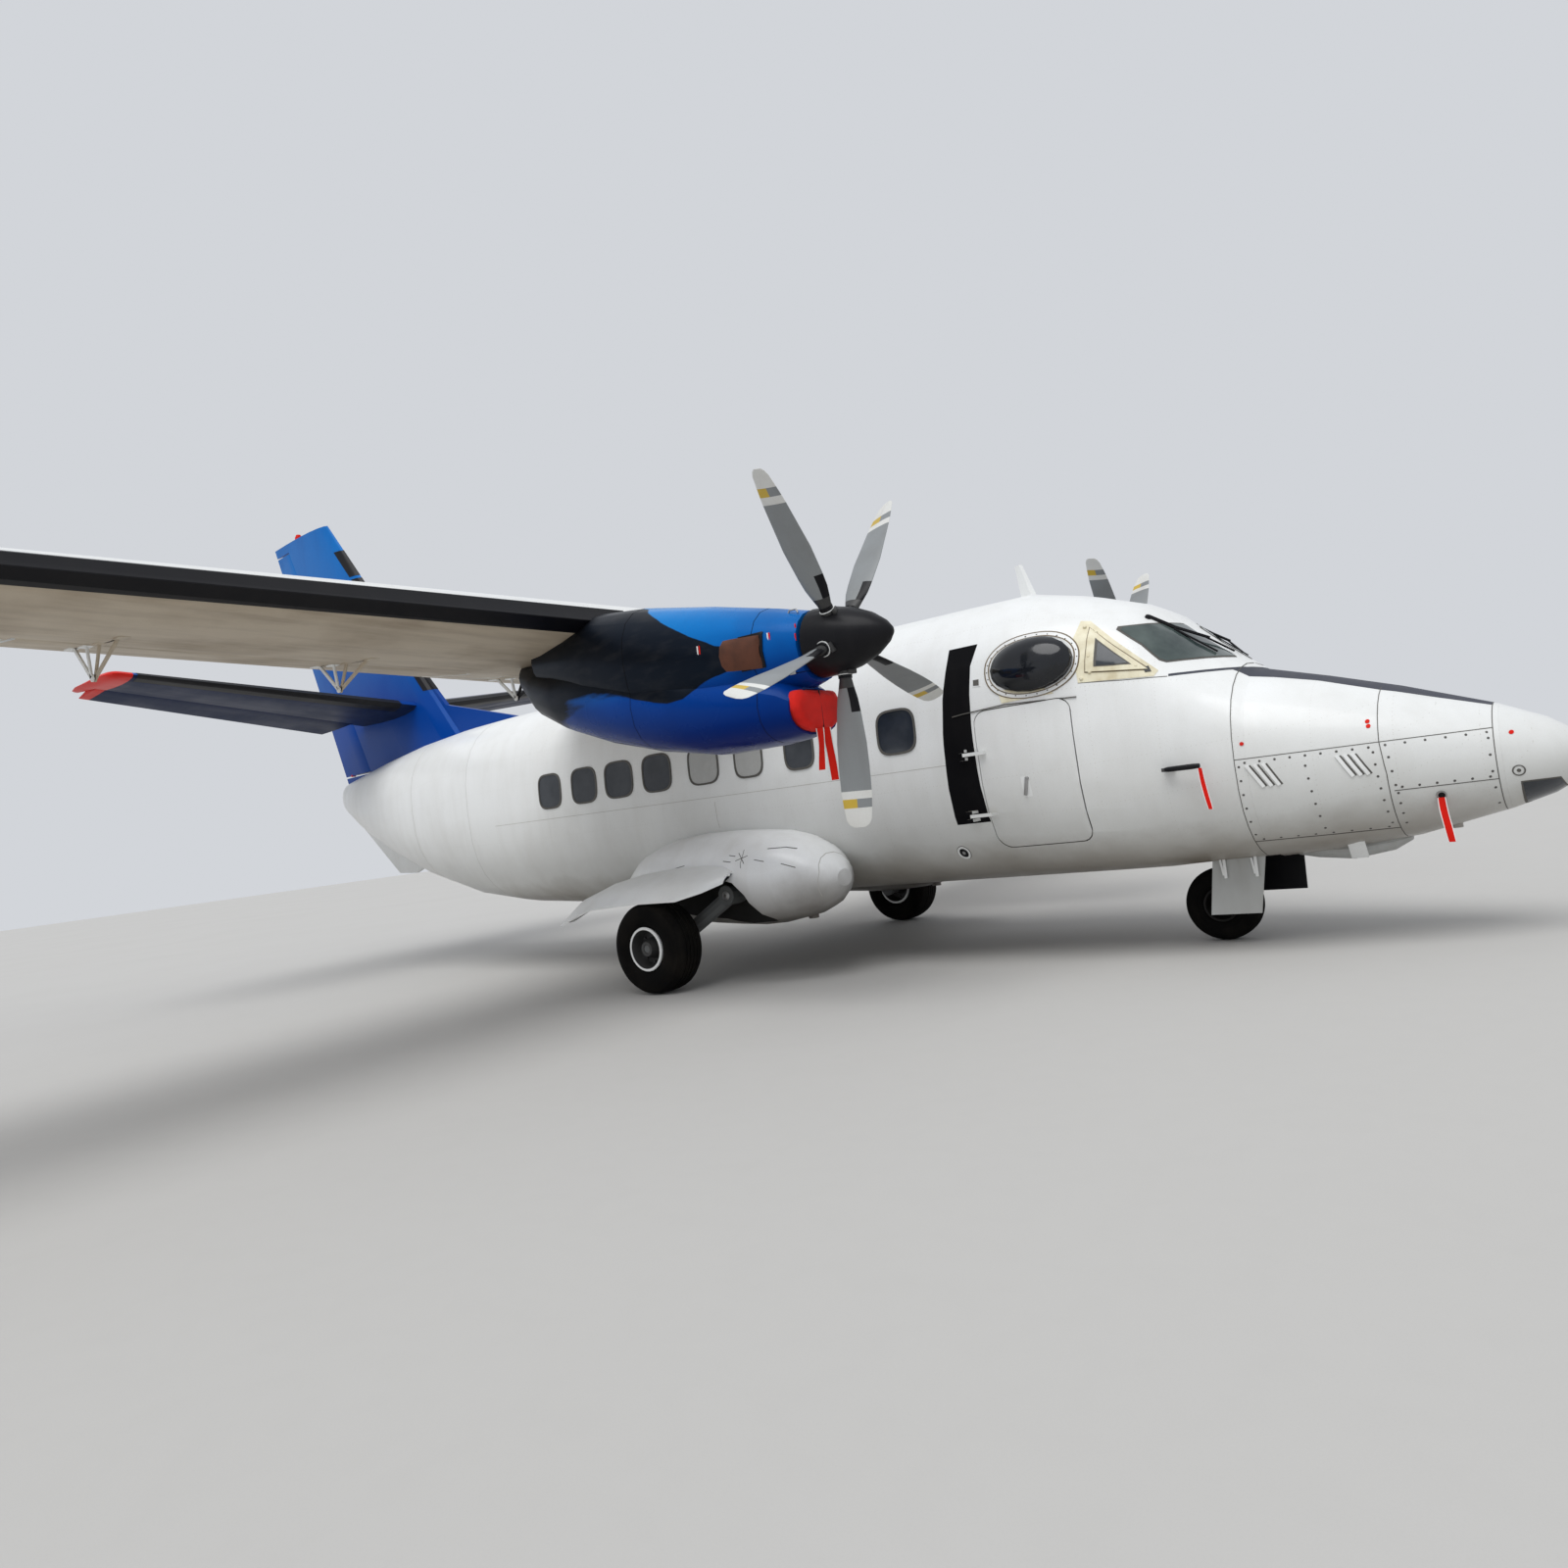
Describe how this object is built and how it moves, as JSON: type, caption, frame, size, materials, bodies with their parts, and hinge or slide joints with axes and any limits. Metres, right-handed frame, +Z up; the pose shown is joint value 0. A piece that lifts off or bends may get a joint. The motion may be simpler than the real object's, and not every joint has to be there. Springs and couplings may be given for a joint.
{
  "type": "turboprop commuter airliner",
  "caption": "High-wing turboprop commuter airliner parked on its landing gear, with turning propellers and wheels, swinging control surfaces and flaps, and hinged doors.",
  "frame": {"origin": "on the ground, under the middle of the overall box", "axes": "+X to the nose, +Y to port, +Z up; the ground is z = 0"},
  "size_m": [14.42, 19.4786, 5.83],
  "materials": {
    "black_spinner": "satin black paint",
    "blades": "grey paint with white tips",
    "cover_fabric": "red canvas",
    "engine": "bare metal block",
    "exhaust": "heat-stained copper brown",
    "fairing_grey": "satin grey paint",
    "gear_grey": "satin grey paint, oily",
    "probe": "bare metal",
    "skin_blue": "gloss blue paint over riveted sheet",
    "skin_white": "dirty gloss white paint over riveted sheet",
    "tyre": "matt black rubber",
    "wheel_white": "chalky white paint",
    "window": "dark tinted pane"
  },
  "bodies": {
    "airframe": {"nose_cone": "skin_white", "nose_section": "skin_white", "cabin": "skin_white", "tail_cone": "skin_white", "nose_fairing": "fairing_grey", "roof_aerial": "skin_white", "ventral_fin": "skin_white", "pitot_right": "probe", "side_window_right": "window", "pitot_left": "probe", "side_window_left": "window", "wing_centre": "skin_white", "wing_right": "skin_white", "intake_cover_right": "cover_fabric", "exhaust_outer_right": "exhaust", "exhaust_inner_right": "exhaust", "nacelle_right": "skin_blue", "engine_right": "engine", "sponson_right": "skin_white", "main_leg_right": "gear_grey", "main_gear_door_right": "skin_white", "wing_left": "skin_white", "intake_cover_left": "cover_fabric", "exhaust_outer_left": "exhaust", "exhaust_inner_left": "exhaust", "nacelle_left": "skin_blue", "engine_left": "engine", "sponson_left": "skin_white", "main_leg_left": "gear_grey", "main_gear_door_left": "skin_white", "fin": "skin_blue", "tailplane_right": "skin_blue", "tailplane_left": "skin_blue", "nose_gear_door_right": "skin_white", "nose_gear_door_left": "skin_white", "nose_leg": "gear_grey"},
    "prop_right": {"spinner_right": "black_spinner", "blades_right": "blades"},
    "prop_left": {"spinner_left": "black_spinner", "blades_left": "blades"},
    "main_wheel_right": {"main_right_tyre": "tyre", "main_right_rim": "wheel_white"},
    "main_wheel_left": {"main_left_tyre": "tyre", "main_left_rim": "wheel_white"},
    "nose_swivel": {"nose_fork": "gear_grey"},
    "nose_wheel": {"nose_tyre": "tyre", "nose_rim": "wheel_white"},
    "rudder": {"rudder": "skin_blue"},
    "elevator_right": {"elevator_right": "skin_blue"},
    "elevator_left": {"elevator_left": "skin_blue"},
    "aileron_right": {"aileron_right": "skin_white"},
    "aileron_left": {"aileron_left": "skin_white"},
    "flap_inner_right": {"flap_inner_right": "skin_white"},
    "flap_outer_right": {"flap_outer_right": "skin_white"},
    "flap_inner_left": {"flap_inner_left": "skin_white"},
    "flap_outer_left": {"flap_outer_left": "skin_white"},
    "crew_door": {"crew_door": "skin_white"},
    "passenger_door": {"passenger_door": "skin_white"},
    "cargo_door": {"cargo_door": "skin_white"},
    "baggage_door": {"baggage_door": "skin_white"}
  },
  "joints": [
    {"name": "prop_right_spin", "type": "hinge", "parent": "airframe", "child": "prop_right", "pos_m": [3.72, -2.41, 2.28], "axis": [0.9992, 0, -0.0401], "continuous": true},
    {"name": "prop_left_spin", "type": "hinge", "parent": "airframe", "child": "prop_left", "pos_m": [3.72, 2.41, 2.28], "axis": [0.9992, 0, -0.0401], "continuous": true},
    {"name": "main_wheel_right_spin", "type": "hinge", "parent": "airframe", "child": "main_wheel_right", "pos_m": [1.24, -1.825, 0.36], "axis": [0, 1, 0], "continuous": true},
    {"name": "main_wheel_left_spin", "type": "hinge", "parent": "airframe", "child": "main_wheel_left", "pos_m": [1.24, 1.825, 0.36], "axis": [0, 1, 0], "continuous": true},
    {"name": "nose_steer", "type": "hinge", "parent": "airframe", "child": "nose_swivel", "pos_m": [5.125, 0, 0.255], "axis": [0, 0, 1], "range_deg": [-50, 50]},
    {"name": "nose_wheel_spin", "type": "hinge", "parent": "nose_swivel", "child": "nose_wheel", "pos_m": [5.04, 0, 0.255], "axis": [0, 1, 0], "continuous": true},
    {"name": "rudder_swing", "type": "hinge", "parent": "airframe", "child": "rudder", "pos_m": [-5.37655, 0, 2.48], "axis": [-0.4081, 0, 0.9129], "range_deg": [-17, 17]},
    {"name": "elevator_right_swing", "type": "hinge", "parent": "airframe", "child": "elevator_right", "pos_m": [-5.31658, -0.285, 3.16499], "axis": [-0.0432, 0.9916, -0.1218], "range_deg": [0, 38]},
    {"name": "elevator_left_swing", "type": "hinge", "parent": "airframe", "child": "elevator_left", "pos_m": [-5.31658, 0.285, 3.16499], "axis": [0.0432, 0.9916, 0.1218], "range_deg": [0, 38]},
    {"name": "aileron_right_swing", "type": "hinge", "parent": "airframe", "child": "aileron_right", "pos_m": [0.20669, -5.7, 2.89703], "axis": [-0.0205, 0.9993, -0.0307], "range_deg": [-20, 20]},
    {"name": "aileron_left_swing", "type": "hinge", "parent": "airframe", "child": "aileron_left", "pos_m": [0.20669, 5.7, 2.89703], "axis": [0.0205, 0.9993, 0.0307], "range_deg": [-20, 20]},
    {"name": "flap_inner_right_swing", "type": "hinge", "parent": "airframe", "child": "flap_inner_right", "pos_m": [0.17806, -1.12, 2.47849], "axis": [0.0153, -0.9994, 0.0306], "range_deg": [0, 42]},
    {"name": "flap_outer_right_swing", "type": "hinge", "parent": "airframe", "child": "flap_outer_right", "pos_m": [0.20033, -2.57, 2.52285], "axis": [0.0153, -0.9994, 0.0306], "range_deg": [0, 42]},
    {"name": "flap_inner_left_swing", "type": "hinge", "parent": "airframe", "child": "flap_inner_left", "pos_m": [0.17806, 1.12, 2.47849], "axis": [-0.0153, -0.9994, -0.0306], "range_deg": [0, 42]},
    {"name": "flap_outer_left_swing", "type": "hinge", "parent": "airframe", "child": "flap_outer_left", "pos_m": [0.20033, 2.57, 2.52285], "axis": [-0.0153, -0.9994, -0.0306], "range_deg": [0, 42]},
    {"name": "crew_door_swing", "type": "hinge", "parent": "airframe", "child": "crew_door", "pos_m": [3.72, -1.06338, 0.83], "axis": [0, 0, -1], "range_deg": [0, 80]},
    {"name": "passenger_door_swing", "type": "hinge", "parent": "airframe", "child": "passenger_door", "pos_m": [-0.788, 1.05815, 0.8], "axis": [0, 0, -1], "range_deg": [0, 110]},
    {"name": "cargo_door_swing", "type": "hinge", "parent": "airframe", "child": "cargo_door", "pos_m": [-2.102, 1.01813, 0.8], "axis": [0, 0, 1], "range_deg": [0, 110]},
    {"name": "baggage_door_swing", "type": "hinge", "parent": "airframe", "child": "baggage_door", "pos_m": [6.21, 0.57411, 1.352], "axis": [0.9406, -0.3397, 0], "range_deg": [0, 80]}
  ],
  "couplings": [
    {"joint": "elevator_right_swing", "follows": "elevator_left_swing", "ratio": 1},
    {"joint": "aileron_right_swing", "follows": "aileron_left_swing", "ratio": -1},
    {"joint": "flap_outer_right_swing", "follows": "flap_inner_right_swing", "ratio": 1},
    {"joint": "flap_inner_left_swing", "follows": "flap_inner_right_swing", "ratio": 1},
    {"joint": "flap_outer_left_swing", "follows": "flap_inner_right_swing", "ratio": 1}
  ]
}
